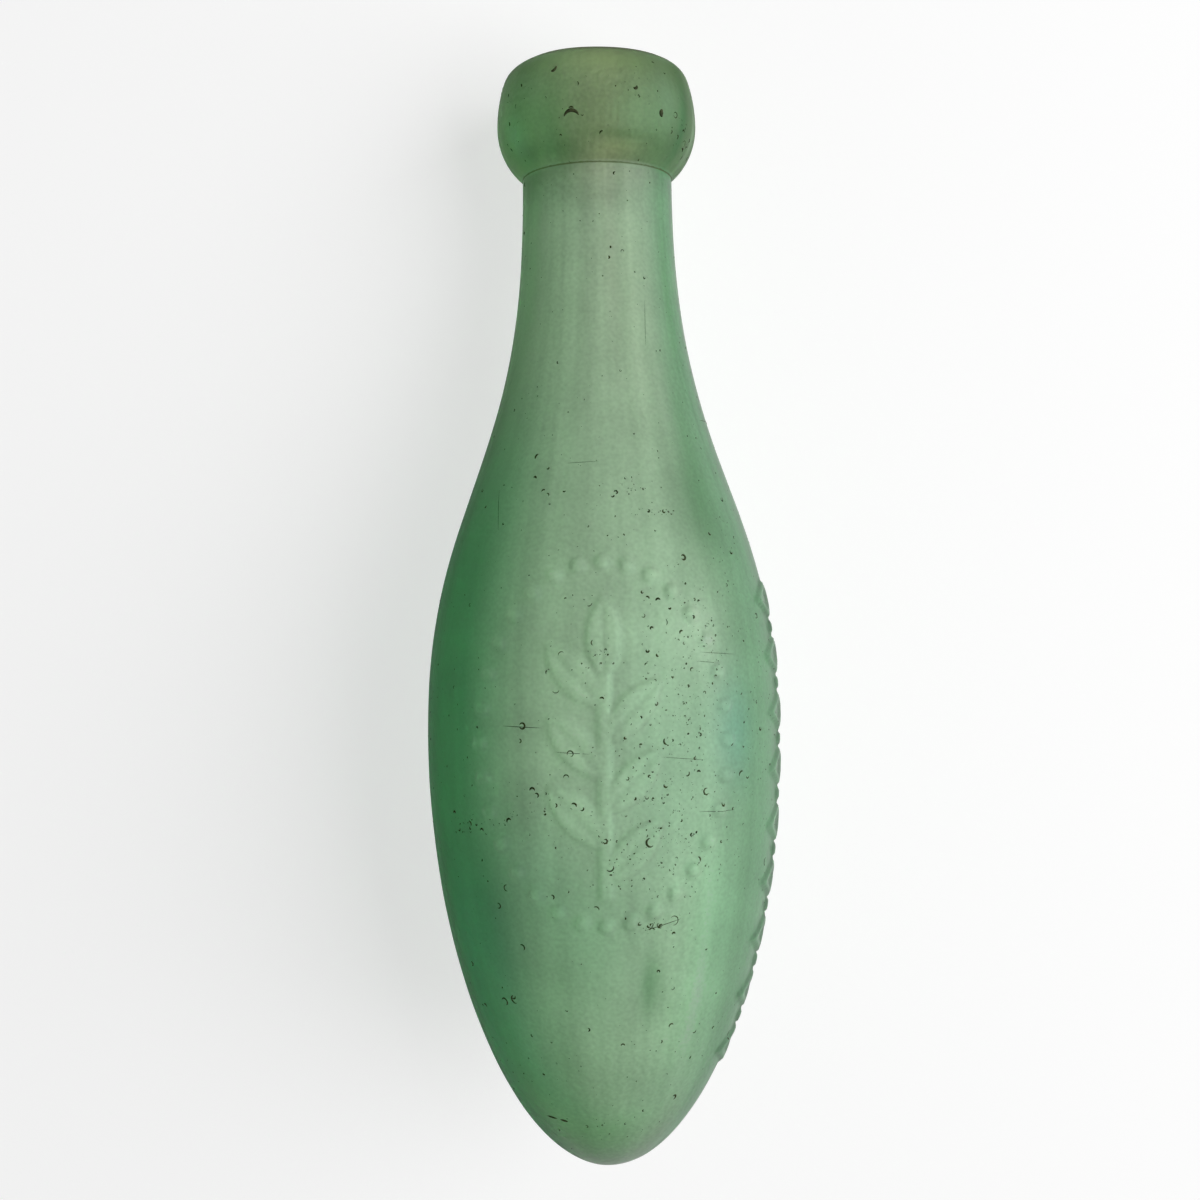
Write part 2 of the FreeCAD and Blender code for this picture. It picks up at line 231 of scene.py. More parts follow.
def lip_curve():
    """The lip's three arcs, from where it meets the neck to the flat top."""
    overhang = LIP_RADIUS - NECK_RADIUS
    curl = (overhang**2 + LIP_WIDEST_HEIGHT**2) / (2 * overhang)
    widest = NECK_TOP + LIP_WIDEST_HEIGHT
    rise = LENGTH - LIP_SHOULDER_RADIUS - widest
    apart = LIP_SIDE_RADIUS - LIP_SHOULDER_RADIUS
    climb = math.asin(rise / apart)
    side_centre = LIP_RADIUS - LIP_SIDE_RADIUS
    start = math.atan2(-LIP_WIDEST_HEIGHT, curl - overhang)
    shoulder = (side_centre + apart * math.cos(climb), LENGTH - LIP_SHOULDER_RADIUS)
    arcs_up = (
        bow((LIP_RADIUS - curl, widest), curl, start, 0, CURL_ROWS),
        bow((side_centre, widest), LIP_SIDE_RADIUS, 0, climb, SIDE_ROWS),
        bow(shoulder, LIP_SHOULDER_RADIUS, climb, math.pi / 2, SHOULDER_ROWS),
    )
    return np.vstack([arc[1:] for arc in arcs_up])


# %% Rows of the outside and the inside
POINT_HEIGHT = 3.0
ORNAMENT_LOW, ORNAMENT_HIGH = 18.0, 128.0
OUTSIDE_STEPS = (0.5, 0.9, 0.6, 1.25)
INSIDE_STEPS = (0.8, 3.6)
outside = spread(
    egg_and_neck(0, 0, NECK_TOP, FLANK_FULLNESS, NECK_STRAIGHTNESS),
    (0, POINT_HEIGHT, ORNAMENT_LOW, ORNAMENT_HIGH, NECK_TOP),
    OUTSIDE_STEPS,
)
lip = lip_curve()
edge_centre = (BORE_RADIUS + MOUTH_EDGE_RADIUS, LENGTH - MOUTH_EDGE_RADIUS)
flat_top = straight(lip[-1], (edge_centre[0], LENGTH), 5)[1:]
mouth_edge = bow(edge_centre, MOUTH_EDGE_RADIUS, math.pi / 2, math.pi, 7)[1:]
seat_bottom = LENGTH - CORK_SEAT_LENGTH
throat_top = seat_bottom - THROAT_TAPER
shrink = (GIRTH_HEIGHT - TIP_GLASS) / GIRTH_HEIGHT
inside_straightness = NECK_STRAIGHTNESS - NECK_TOP + throat_top
hollow = spread(
    egg_and_neck(TIP_GLASS, WALL, throat_top, FLANK_FULLNESS * shrink, inside_straightness),
    (TIP_GLASS, TIP_GLASS + POINT_HEIGHT, throat_top),
    INSIDE_STEPS,
)[::-1]
seat = straight(mouth_edge[-1], (BORE_RADIUS, seat_bottom), 8)[1:]
throat = straight(seat[-1], hollow[0], 4)[1:-1]
outer_rows = len(outside) + len(lip) + len(flat_top)
outline = np.vstack([outside, lip, flat_top, mouth_edge, seat, throat, hollow])
full_lip = np.vstack([outside, lip])
outside_radius, outside_height = full_lip.T
print("rows:", len(outline), "of which outside:", outer_rows)

# %% [markdown]
# ## The ornament
# The mould raised a leafy sprig inside an oval of beads on the front, and a column of open lozenges
# with beads between them up the right side. Each motif is a signed distance: how far a point lies
# inside the motif's edge, in millimetres. The raised height is a soft step of that distance, because
# glass never filled the mould's corners and years of wear rounded the rest.

# %% Sizes of the ornament, in millimetres and degrees
RELIEF_HEIGHT = 0.6
MEDALLION_HEIGHT = 89.0
SPRIG_HEIGHT = 58.0
STEM_WIDTH = 2.4
LEAF_LENGTH = 16.0
LEAF_WIDTH = 6.4
LEAF_RISE = 48.0
LEAF_PAIRS = 3
LEAF_SPACING = 13.0
OVAL_HALF_WIDTH = 23.5
OVAL_HALF_HEIGHT = 34.0
OVAL_BEADS = 32
BEAD_RADIUS = 1.3
BORDER_TURN = 77.0
BORDER_START = 26.0
BORDER_SPACING = 11.2
BORDER_LOZENGES = 9
LOZENGE_ACROSS = 15.0
LOZENGE_ALONG = 7.6
LOZENGE_STROKE = 1.7
SOFT_EDGE = 0.55
SOFT_STROKE = 0.45
SOFT_STEM = 0.5
RIB_DEPTH, RIB_WIDTH = 0.35, 0.45
print("leaves:", 2 * LEAF_PAIRS, "beads in the oval:", OVAL_BEADS, "lozenges:", BORDER_LOZENGES)


# %% Motifs as signed distances
def bead(x, z, centre):
    """Inside a circle: its radius less the distance from its centre."""
    return BEAD_RADIUS - np.hypot(x - centre[0], z - centre[1])


def leaf(x, z, foot, rise):
    """Inside both of two equal circles that cross at the leaf's foot and at its point."""
    radius = (LEAF_LENGTH**2 + LEAF_WIDTH**2) / (4 * LEAF_WIDTH)
    angle = math.radians(rise)
    middle = np.array(foot) + LEAF_LENGTH / 2 * np.array([math.cos(angle), math.sin(angle)])
    aside = (radius - LEAF_WIDTH / 2) * np.array([-math.sin(angle), math.cos(angle)])
    first, second = middle + aside, middle - aside
    return radius - np.maximum(np.hypot(x - first[0], z - first[1]), np.hypot(x - second[0], z - second[1]))


def midrib(x, z, foot, rise):
    """Distance from the line that runs from the leaf's foot to its point."""
    angle = math.radians(rise)
    return np.abs((z - foot[1]) * math.cos(angle) - (x - foot[0]) * math.sin(angle))


def bar(x, z, low, high, half_width):
    """Inside an upright bar: the least distance to its sides and ends."""
    return np.minimum(half_width - np.abs(x), np.minimum(z - low, high - z))


def open_lozenge(x, z, centre):
    """Inside the even stroke of a lozenge: half the stroke less the distance from its middle line."""
    across, along = LOZENGE_ACROSS / 2, LOZENGE_ALONG / 2
    scale = across * along / math.hypot(across, along)
    edge = scale * (1 - np.abs(x) / across - np.abs(z - centre) / along)
    return LOZENGE_STROKE / 2 - np.abs(edge - LOZENGE_STROKE / 2)


def soft_step(distance, softness):
    """Nought outside, one inside, and a smooth rise across the edge."""
    share = np.clip(0.5 + distance / (2 * softness), 0, 1)
    return share * share * (3 - 2 * share)


# %% The ornament's height over the glass
def medallion(x, z):
    """The highest of the stem, bud, leaves and beads at each point of the front."""
    foot = MEDALLION_HEIGHT - SPRIG_HEIGHT / 2
    stem_top = foot + SPRIG_HEIGHT - LEAF_LENGTH
    raised = soft_step(bar(x, z, foot, stem_top, STEM_WIDTH / 2), SOFT_STEM)
    leaves = [((0, stem_top - STEM_WIDTH / 2), 90.0)]
    for number in range(LEAF_PAIRS):
        leaves.append(((0, foot + (number + 0.25) * LEAF_SPACING), LEAF_RISE))
        leaves.append(((0, foot + (number + 0.75) * LEAF_SPACING), 180 - LEAF_RISE))
    for start, rise in leaves:
        rib = RIB_DEPTH * np.exp(-((midrib(x, z, start, rise) / RIB_WIDTH) ** 2))
        raised = np.maximum(raised, soft_step(leaf(x, z, start, rise), SOFT_EDGE) * (1 - rib))
    for number in range(OVAL_BEADS):
        bearing = 2 * math.pi * number / OVAL_BEADS
        up = MEDALLION_HEIGHT + OVAL_HALF_HEIGHT * math.sin(bearing)
        centre = (OVAL_HALF_WIDTH * math.cos(bearing), up)
        raised = np.maximum(raised, soft_step(bead(x, z, centre), SOFT_EDGE))
    return raised


def border(x, z):
    """The higher of the lozenges' strokes and the beads between them."""
    raised = np.zeros_like(x)
    for number in range(BORDER_LOZENGES):
        centre = BORDER_START + number * BORDER_SPACING
        raised = np.maximum(raised, soft_step(open_lozenge(x, z, centre), SOFT_STROKE))
        if number < BORDER_LOZENGES - 1:
            between = (0, centre + BORDER_SPACING / 2)
            raised = np.maximum(raised, soft_step(bead(x, z, between), SOFT_STEM))
    return raised


# %% [markdown]
# ## The uneven skin
# Blown glass is never true. Low, wide waves run over the outside, where the glass chilled against the mould
# in patches, the right flank is a little flat, and a soft dent lies low on the right. The waves are sums of
# sines whose directions and lengths come from a seeded draw, so they are the same on each run. All of it
# only presses inwards, so the bottle keeps its size.

# %% Waves and dents
rng = np.random.default_rng(7)
MEAN_RADIUS = 30.0


def draw_waves(count, shortest, longest):
    """For each sine wave: whole turns round the bottle, swell along it, and where it starts."""
    length = rng.uniform(shortest, longest, count)
    heading = rng.uniform(0, math.pi, count)
    around = np.round(2 * math.pi * MEAN_RADIUS / length * np.cos(heading))
    rise = 2 * math.pi / length * np.sin(heading)
    return np.stack([around, rise, rng.uniform(0, 2 * math.pi, count)], axis=1)


BROAD_WAVES, BROAD_WAVE_DEPTH = draw_waves(9, 22, 60), 0.20
SMALL_WAVES, SMALL_WAVE_DEPTH = draw_waves(14, 7, 14), 0.05
LIP_WAVES, LIP_WAVE_DEPTH = draw_waves(6, 18, 50), 0.25
FLAT_FLANK_HEIGHT, FLAT_FLANK_ALONG, FLAT_FLANK_DEPTH = 84.0, 26.0, 0.45
DENT_PX, DENT_ACROSS, DENT_ALONG, DENT_DEPTH = (650, 985), 2.6, 6.0, 0.45
print("waves on the body:", len(BROAD_WAVES) + len(SMALL_WAVES), "and on the lip:", len(LIP_WAVES))


def waves(which, turn, height):
    """A sum of sine waves over the unrolled skin, scaled to run from nought to one."""
    total = sum(np.sin(around * turn + rise * height + start) for around, rise, start in which)
    return 0.5 + 0.5 * total / len(which)


def hump(turn, height, centre, across, along):
    """One in the middle, falling off as a bell across and along, both in millimetres."""
    radius = np.interp(centre[1], outside_height, outside_radius)
    away = (turn - centre[0] + math.pi) % (2 * math.pi) - math.pi
    return np.exp(-((away * radius / across) ** 2) - ((height - centre[1]) / along) ** 2)


# %% [markdown]
# ## The bottle as one grid
# The rows are the points of the outline, from the outside's tip over the lip to the inside's lowest point.
# The columns are turns about the axis, close together where the ornament is and wider apart behind.
# Both ends close on one point. The inside is turned a little about the mouth, as the record's axis says.

# %% Columns round the bottle
FINE_FROM, FINE_TO = math.radians(-52), math.radians(112)
POINT_RADIUS = 6.0
fine_columns = np.linspace(FINE_FROM, FINE_TO, 172, endpoint=False)
wide_columns = np.linspace(FINE_TO, FINE_FROM + 2 * math.pi, 66, endpoint=False)
turns = np.concatenate([fine_columns, wide_columns])
print("columns:", len(turns))


def ornament(turn, radius, height):
    """How much of its full height the ornament has: sprig and oval in front, lozenges on the right."""
    border_turn = turn - math.radians(BORDER_TURN)
    raised = medallion(radius * np.sin(turn), height) * (np.cos(turn) > 0)
    return np.maximum(raised, border(radius * np.sin(border_turn), height) * (np.cos(border_turn) > 0))


def push(turn, radius, height):
    """How far the outside stands off the plain outline, in millimetres: ornament out, all the rest in.

    It fades to nothing at the point, where the columns meet.
    """
    dent_turn, dent_height = on_bottle([DENT_PX])
    dent = hump(turn, height, (dent_turn[0], dent_height[0]), DENT_ACROSS, DENT_ALONG)
    bell = np.exp(-(((height - FLAT_FLANK_HEIGHT) / FLAT_FLANK_ALONG) ** 2))
    flat_flank = np.clip(np.sin(turn), 0, 1) ** 2 * bell
    body = RELIEF_HEIGHT * ornament(turn, radius, height)
    body = body - DENT_DEPTH * dent - FLAT_FLANK_DEPTH * flat_flank
    body = body - BROAD_WAVE_DEPTH * waves(BROAD_WAVES, turn, height)
    body = body - SMALL_WAVE_DEPTH * waves(SMALL_WAVES, turn, height)
    lip_push = -LIP_WAVE_DEPTH * waves(LIP_WAVES, turn, height)
    return np.where(height < NECK_TOP, body, lip_push) * np.clip(radius / POINT_RADIUS, 0, 1)


def normals_of(curve):
    """Unit normals of a curve of radius and height, to the right of its own direction."""
    slope = np.gradient(curve, axis=0)
    slope /= np.maximum(np.hypot(*slope.T), 1e-9)[:, None]
    return np.stack([slope[:, 1], -slope[:, 0]], axis=1)


def grid_places():
    """Turn, radius and height of each point of the plain grid: a row for each outline point."""
    turn, radius = np.meshgrid(turns, outline[:, 0])
    return turn, radius, np.repeat(outline[:, 1:], len(turns), axis=1)


def bottle_points():
    """Each outline point turned about the axis, then moved along its normal by mould and wear."""
    normal = normals_of(outline)
    turn, radius, height = grid_places()
    is_outside = (np.arange(len(outline)) < outer_rows)[:, None]
    shift = np.where(is_outside, push(turn, radius, height), 0)
    radius = radius + shift * normal[:, :1]
    height = height + shift * normal[:, 1:]

    across, out = radius * np.sin(turn), radius * np.cos(turn)
    lean = np.where(is_outside, 0, INSIDE_LEAN)
    below = height - LENGTH
    out_leaned = out * np.cos(lean) - below * np.sin(lean)
    height_leaned = LENGTH + below * np.cos(lean) + out * np.sin(lean)
    return np.stack([across, out_leaned, height_leaned], axis=-1)


def closed_grid(points):
    """Faces, outwards, of a grid whose columns meet themselves and whose end rows are single points."""
    rows, columns = points.shape[:2]
    body = points[1:-1].reshape(-1, 3)
    vertices = np.vstack([points[0, :1], body, points[-1, :1]])
    index = 1 + np.arange((rows - 2) * columns).reshape(rows - 2, columns)
    low, high = index[:-1], index[1:]
    quads = np.stack([low, np.roll(low, -1, axis=1), np.roll(high, -1, axis=1), high], axis=-1)
    last = len(vertices) - 1
    first_ring, last_ring = index[0], index[-1]
    start_fan = np.stack([np.zeros_like(first_ring), np.roll(first_ring, -1), first_ring], axis=-1)
    end_fan = np.stack([np.full_like(last_ring, last), last_ring, np.roll(last_ring, -1)], axis=-1)
    return vertices, quads.reshape(-1, 4), np.vstack([start_fan, end_fan])


# %% Build the mesh
def make_mesh(name, vertices, quads, triangles):
    """Puts the arrays into a new mesh and shades it smooth."""
    loops = np.concatenate([quads.ravel(), triangles.ravel()]).astype(np.int32)
    totals = np.concatenate([np.full(len(quads), 4), np.full(len(triangles), 3)]).astype(np.int32)
    starts = np.concatenate([[0], np.cumsum(totals)[:-1]]).astype(np.int32)
    mesh = bpy.data.meshes.new(name)
    mesh.vertices.add(len(vertices))
    mesh.vertices.foreach_set("co", vertices.astype(np.float32).ravel())
    mesh.loops.add(len(loops))
    mesh.loops.foreach_set("vertex_index", loops)
    mesh.polygons.add(len(totals))
    mesh.polygons.foreach_set("loop_start", starts)
    mesh.polygons.foreach_set("use_smooth", np.ones(len(totals), dtype=bool))
    mesh.update(calc_edges=True)
    mesh.validate()
    return mesh


points = bottle_points()
vertices, quads, triangles = closed_grid(points)
bottle_mesh = make_mesh("bottle_glass", in_frame(vertices), quads, triangles)


def signed_volume(mesh):
    """A sixth of the sum of each triangle's triple product: positive when its faces point outwards."""
    mesh.calc_loop_triangles()
    where = np.empty(len(mesh.vertices) * 3, dtype=np.float32)
    mesh.vertices.foreach_get("co", where)
    corner = np.empty(len(mesh.loop_triangles) * 3, dtype=np.int32)
    mesh.loop_triangles.foreach_get("vertices", corner)
    a, b, c = where.reshape(-1, 3).astype(float)[corner.reshape(-1, 3)].transpose(1, 0, 2)
    return float(np.einsum("ij,ij->i", a, np.cross(b, c)).sum() / 6)


glass_volume = signed_volume(bottle_mesh)
print("glass, cm3:", round(glass_volume * 1e6, 1), "triangles:", len(bottle_mesh.loop_triangles))


# %% [markdown]
# ## Where the skin is etched, and where shade and light are painted
# The left flank is less etched and keeps its deep green, and it is painted darker still, as painted shade
# on the side away from the lamp. The front and right are etched paler, and the right flank a little bluer;
# towards the right rim the flank is painted darker, as painted edge shade. The lip came from another gather
# of glass and is more olive. Wear and a painted highlight leave the ornament's tops pale, and soil and
# painted shade darken their feet. Soft patches at listed places add stains, painted shade and painted light.
# These broad tints are worked out for each point of the grid and kept in a colour attribute, because they
# follow the bottle's own sides, which no plain texture does.

# %% Broad tints
FRONT_TINT = (0.76, 0.83, 0.73)
# the left flank: less etched deep green glass, painted darker still as painted shade on the side away from
# the lamp
LEFT_GREEN_AND_SHADE = (0.17, 0.60, 0.33)
NECK_LEFT_TINT = (0.74, 0.76, 0.69)
# the right flank and its rim: darker and deeper green towards the edge, as painted edge shade
RIGHT_TINT_AND_EDGE_SHADE = (0.39, 0.65, 0.445)
RIM_TINT_AND_EDGE_SHADE = (0.38, 0.55, 0.41)
LIP_TINT = (0.58, 0.61, 0.43)
LIP_LEFT_TINT = (0.67, 0.72, 0.56)
LIP_RIGHT_TINT = (0.41, 0.52, 0.35)
TOP_EDGE_TINT = (0.16, 0.13, 0.07)
# the ornament's tops are paler, as wear and as a painted highlight; its edges are darker, as soil and as
# painted shade, more so on the right flank
WORN_AND_HIGHLIT_TOP, SOIL_AND_SHADE_AT_FOOT, MORE_SOIL_AND_SHADE_ON_FLANK = 0.14, 0.13, 0.7
SIDES_START_RADIUS, STREAKS_START_RADIUS = 12.0, 26.0
SHOULDER_HEIGHT, NECK_HEIGHT = 120.0, 170.0
DARK_EDGE_BELOW, DARK_EDGE_RADIUS = (1.6, 0.7), (12.5, 14.5)
# each row: picture pixel, reach across and along in millimetres, and the factors for red, green and blue
# some patches are stains and streaks; others are painted shade and painted light, such as a darker left edge
# and a lighter neck just under the lip
STAIN_SHADE_AND_LIGHT_PATCHES = (
    (515, 138, 3, 3.8, 1.5, 1.6, 1.9), (548, 132, 3.6, 8, 0.64, 0.73, 0.68),
    (545, 152, 8, 1.8, 0.66, 0.72, 0.67), (618, 133, 6, 0.9, 0.72, 0.78, 0.7),
    (622, 147, 5, 1.3, 1.25, 1.22, 1.15), (660, 148, 5, 2.6, 0.72, 0.74, 0.72),
    (668, 105, 3.2, 5.5, 1.1, 1.14, 1.24), (676, 142, 3, 4, 0.86, 0.84, 0.88),
    (530, 100, 3.5, 6, 1.12, 1.08, 1.14), (505, 118, 2.2, 5, 1.24, 1.18, 1.25),
    (528, 152, 2.5, 2.5, 0.86, 0.82, 0.88), (566, 146, 3, 3, 0.74, 0.76, 0.73),
    (600, 57, 24, 3, 0.84, 0.88, 0.72), (676, 72, 3.5, 4, 0.7, 0.8, 0.62),
    # the row at pixel (606, 170) is painted light: it lightens the shade on the neck just under the lip
    (686, 100, 2.5, 7, 0.6, 0.66, 0.6), (606, 170, 9, 5, 1.2, 1.12, 1.16),
    (622, 255, 9, 34, 0.84, 0.8, 0.8), (683, 125, 1.6, 8, 0.66, 0.95, 0.8),
    (692, 140, 1, 6.5, 1.7, 1.6, 1.8), (522, 225, 3, 20, 1.32, 1.3, 1.35),
    (535, 250, 2.2, 26, 0.8, 0.88, 0.8), (612, 250, 1.6, 16, 1.08, 1.05, 1.06),
    (643, 315, 3.6, 26, 1.18, 1.12, 1.14), (668, 300, 1.6, 18, 0.74, 0.84, 0.74),
    (684, 430, 2.6, 16, 0.72, 0.82, 0.74), (698, 505, 5, 12, 0.56, 0.68, 0.58),
    (740, 730, 5, 10, 0.86, 1.04, 1.14), (700, 632, 4.5, 8, 1.18, 1.13, 1.17),
    (710, 738, 5, 8, 0.9, 0.92, 0.92), (670, 780, 14, 24, 0.84, 0.9, 0.88),
    (719, 920, 6, 20, 1, 1.17, 1.08), (650, 985, 2, 6, 0.55, 0.68, 0.58),
    (462, 700, 2.4, 20, 0.75, 0.9, 0.85), (482, 905, 5, 14, 0.56, 0.72, 0.66),
    (530, 870, 8, 12, 0.86, 0.92, 0.91), (468, 950, 5, 16, 1.12, 1.18, 1.5),
    (500, 950, 4, 12, 0.76, 0.82, 0.84), (590, 1142, 12, 6, 0.64, 0.71, 0.62),
    (500, 1055, 5, 9, 1.3, 1.22, 1.45), (580, 940, 12, 16, 0.78, 0.89, 0.83),
    (692, 1025, 5, 12, 1.12, 1.22, 1.14), (560, 1115, 10, 11, 0.82, 0.86, 0.81),
)


def smooth(value, low, high):
    """Nought below low, one above high, and smooth between."""
    share = np.clip((value - low) / (high - low), 0, 1)
    return share * share * (3 - 2 * share)


def blend(share, first, second):
    """A colour between two for each share."""
    return (1 - share[..., None]) * np.asarray(first) + share[..., None] * np.asarray(second)


def draw_streaks(count, least, most, tilt):
    """Waves that run many whole turns round and swell only slowly along, so they draw long streaks."""
    around = rng.integers(least, most, count)
    return np.stack([around, rng.uniform(-tilt, tilt, count), rng.uniform(0, 2 * math.pi, count)], axis=1)


STREAKS, STREAK_STRENGTH = draw_streaks(7, 9, 34, 0.05), 0.30
FINE_STREAKS, FINE_STREAK_STRENGTH = draw_streaks(9, 30, 80, 0.09), 0.18
MOTTLE, MOTTLE_STRENGTH = draw_waves(16, 6, 22), 0.30
STREAKS_ON_LIP = 0.4


def broad_tint():
    """The base colour of each point of the grid, by its turn and its height.

    The side runs from minus one on the far left to one on the far right. The darker left flank and right
    rim, the ornament's pale tops and dark edges, and some patches are painted shade and painted light.
    Differences round the bottle fade to nothing at the grid's two ends, where its columns meet.
    """
    turn, radius, height = grid_places()
    off_point = np.where(height < GIRTH_HEIGHT, smooth(radius, 0, SIDES_START_RADIUS), 1)
    side = np.sin(turn) * off_point
    # the left flank is painted darker: its own deep green and painted shade
    left_green_and_shade = blend(smooth(height, SHOULDER_HEIGHT, NECK_HEIGHT), LEFT_GREEN_AND_SHADE, NECK_LEFT_TINT)
    left_share = smooth(-side, 0.45, 1.02)[..., None]
    tint = np.array(FRONT_TINT) * (1 - left_share) + left_green_and_shade * left_share
    # towards the right rim the tint grows darker, as painted edge shade
    tint = blend(smooth(side, 0.55, 0.92), tint, RIGHT_TINT_AND_EDGE_SHADE)
    tint = blend(smooth(side, 0.92, 1.0), tint, RIM_TINT_AND_EDGE_SHADE)
    lip_tint = blend(smooth(-side, -0.2, 0.8), LIP_TINT, LIP_LEFT_TINT)
    lip_tint = blend(smooth(side, 0.1, 0.9), lip_tint, LIP_RIGHT_TINT)
    low, high = (LENGTH - below for below in DARK_EDGE_BELOW)
    top_edge = smooth(height, low, high) * smooth(radius, *DARK_EDGE_RADIUS)
    lip_tint = blend(top_edge, lip_tint, TOP_EDGE_TINT)
    tint = np.where((height > NECK_TOP)[..., None], lip_tint, tint)
    # each patch multiplies the tint; the patches hold stains, painted shade and painted light
    where = on_bottle([patch[:2] for patch in STAIN_SHADE_AND_LIGHT_PATCHES])
    for centre_turn, centre_height, (_, _, across, along, *factor) in zip(*where, STAIN_SHADE_AND_LIGHT_PATCHES):
        share = hump(turn, height, (centre_turn, centre_height), across, along)
        tint = tint * blend(share, (1, 1, 1), factor)
    streaky = STREAK_STRENGTH * (waves(STREAKS, turn, height) - 0.5)
    streaky = streaky + FINE_STREAK_STRENGTH * (waves(FINE_STREAKS, turn, height) - 0.5)
    streaks_start = np.where(height < GIRTH_HEIGHT, smooth(radius, 2, STREAKS_START_RADIUS), 1)
    streaky = streaky * np.where(height > NECK_TOP, STREAKS_ON_LIP, streaks_start)
    mottle = MOTTLE_STRENGTH * (waves(MOTTLE, turn, height) - 0.5) * off_point
    # paler tops are wear and a painted highlight; the darker band on each motif's sloping edge is soil and
    # painted shade
    raised = ornament(turn, radius, height)
    soil = SOIL_AND_SHADE_AT_FOOT * (1 + MORE_SOIL_AND_SHADE_ON_FLANK * smooth(side, 0.8, 0.95))
    relief_wear_and_shading = WORN_AND_HIGHLIT_TOP * raised - soil * 4 * raised * (1 - raised)
    return np.clip(tint * (1 + streaky + mottle + relief_wear_and_shading)[..., None], 0.01, 1)


def matt_share():
    """How matt each point is: fully on the far left and the lip's shoulder, less on the lip's sides."""
    turn, _, height = grid_places()
    side = np.sin(turn)
    on_lip = np.maximum(0.9 * smooth(np.abs(side), 0.5, 0.95), smooth(height, LENGTH - 7, LENGTH - 3))
    share = np.where(height < NECK_TOP, smooth(-side, 0.5, 0.95), on_lip)
    return np.repeat(share[..., None], 3, axis=-1)


def add_colours(mesh, name, colours):
    """Keeps one colour for each vertex of a closed grid."""
    flat = np.vstack([colours[0, :1], colours[1:-1].reshape(-1, 3), colours[-1, :1]])
    layer = mesh.color_attributes.new(name, "FLOAT_COLOR", "POINT")
    layer.data.foreach_set("color", np.hstack([flat, np.ones((len(flat), 1))]).astype(np.float32).ravel())


tint = broad_tint()
add_colours(bottle_mesh, "tint", tint)
add_colours(bottle_mesh, "matt", matt_share())
print("mean tint of the outside:", tint[:outer_rows].mean(axis=(0, 1)).round(2))

# %% The bottle's object
bottle = add_object("bottle_glass", bottle_mesh)
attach(bottle, "root")
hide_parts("bottle")


# %% [markdown]
# ## Shader maths as expressions
# A small class wraps a socket, so that arithmetic on values adds Math nodes. Colours go through Mix
# and Vector Math. Any other node comes from one method that takes its type, settings and sockets.

# %% The shader helper
class Socket:
    """One output socket of a material's nodes, with arithmetic on plain values."""

    def __init__(self, tree, output):
        self.tree = tree
        self.output = output

    def join(self, operation, *values, clamp=False):
        """Adds one Math node and fills its inputs in order."""
        node = self.tree.nodes.new("ShaderNodeMath")
        node.operation = operation
        node.use_clamp = clamp
        for slot, value in zip(node.inputs, values):
            plug(self.tree, slot, value)
        return Socket(self.tree, node.outputs[0])

    def __add__(self, other):
        return self.join("ADD", self, other)

    def __radd__(self, other):
        return self.join("ADD", other, self)

    def __sub__(self, other):
        return self.join("SUBTRACT", self, other)

    def __rsub__(self, other):
        return self.join("SUBTRACT", other, self)

    def __mul__(self, other):
        return self.join("MULTIPLY", self, other)

    def __rmul__(self, other):
        return self.join("MULTIPLY", other, self)

    def __truediv__(self, other):
        return self.join("DIVIDE", self, other)

    def __rtruediv__(self, other):
        return self.join("DIVIDE", other, self)

    def clamp(self):
        """Held between nought and one."""
        return self.join("ADD", self, 0.0, clamp=True)

    def absolute(self):
        """Without its sign."""
        return self.join("ABSOLUTE", self)

    def step(self, low, high):
        """Nought below low, one above high, and smooth between."""
        node = self.tree.nodes.new("ShaderNodeMapRange")
        node.interpolation_type = "SMOOTHSTEP"
        for name, value in (("Value", self), ("From Min", low), ("From Max", high)):
            plug(self.tree, node.inputs[name], value)
        return Socket(self.tree, node.outputs[0])


def plug(tree, slot, value):
    """Links a Socket to an input, or sets the input's own value."""
    if isinstance(value, Socket):
        tree.links.new(value.output, slot)
    else:
        slot.default_value = value


class Material:
    """A material's node tree, with one method that adds any node."""

    def __init__(self, name):
        self.material = bpy.data.materials.new(name)
        self.material.use_nodes = True
        self.tree = self.material.node_tree
        self.tree.nodes.clear()

    def node(self, kind, settings=None, output=0, **sockets):
        """Adds a node of the kind, sets its settings first and then its inputs, and gives one output."""
        made = self.tree.nodes.new("ShaderNode" + kind)
        for name, value in (settings or {}).items():
            setattr(made, name, value)
        for name, value in sockets.items():
            plug(self.tree, made.inputs[name.replace("_", " ")], value)
        return Socket(self.tree, made.outputs[output])

    def mix(self, share, first, second):
        """A colour between two, by a share from nought to one."""
        made = self.tree.nodes.new("ShaderNodeMix")
        made.data_type = "RGBA"
        for name, value in (("Factor_Float", share), ("A_Color", first), ("B_Color", second)):
            slot = next(entry for entry in made.inputs if entry.identifier == name)
            plug(self.tree, slot, value)
        return Socket(self.tree, next(entry for entry in made.outputs if entry.identifier == "Result_Color"))

    def noise(self, where, scale, detail=0.0):
        """Smooth noise of a given number of swells to the metre."""
        return self.node("TexNoise", Vector=where, Scale=scale, Detail=detail)

    def finish(self, surface, volume=None):
        """Links the surface, and the volume if there is one, to the material's output."""
        out = self.tree.nodes.new("ShaderNodeOutputMaterial")
        self.tree.links.new(surface.output, out.inputs["Surface"])
        if volume is not None:
            self.tree.links.new(volume.output, out.inputs["Volume"])
        return self.material


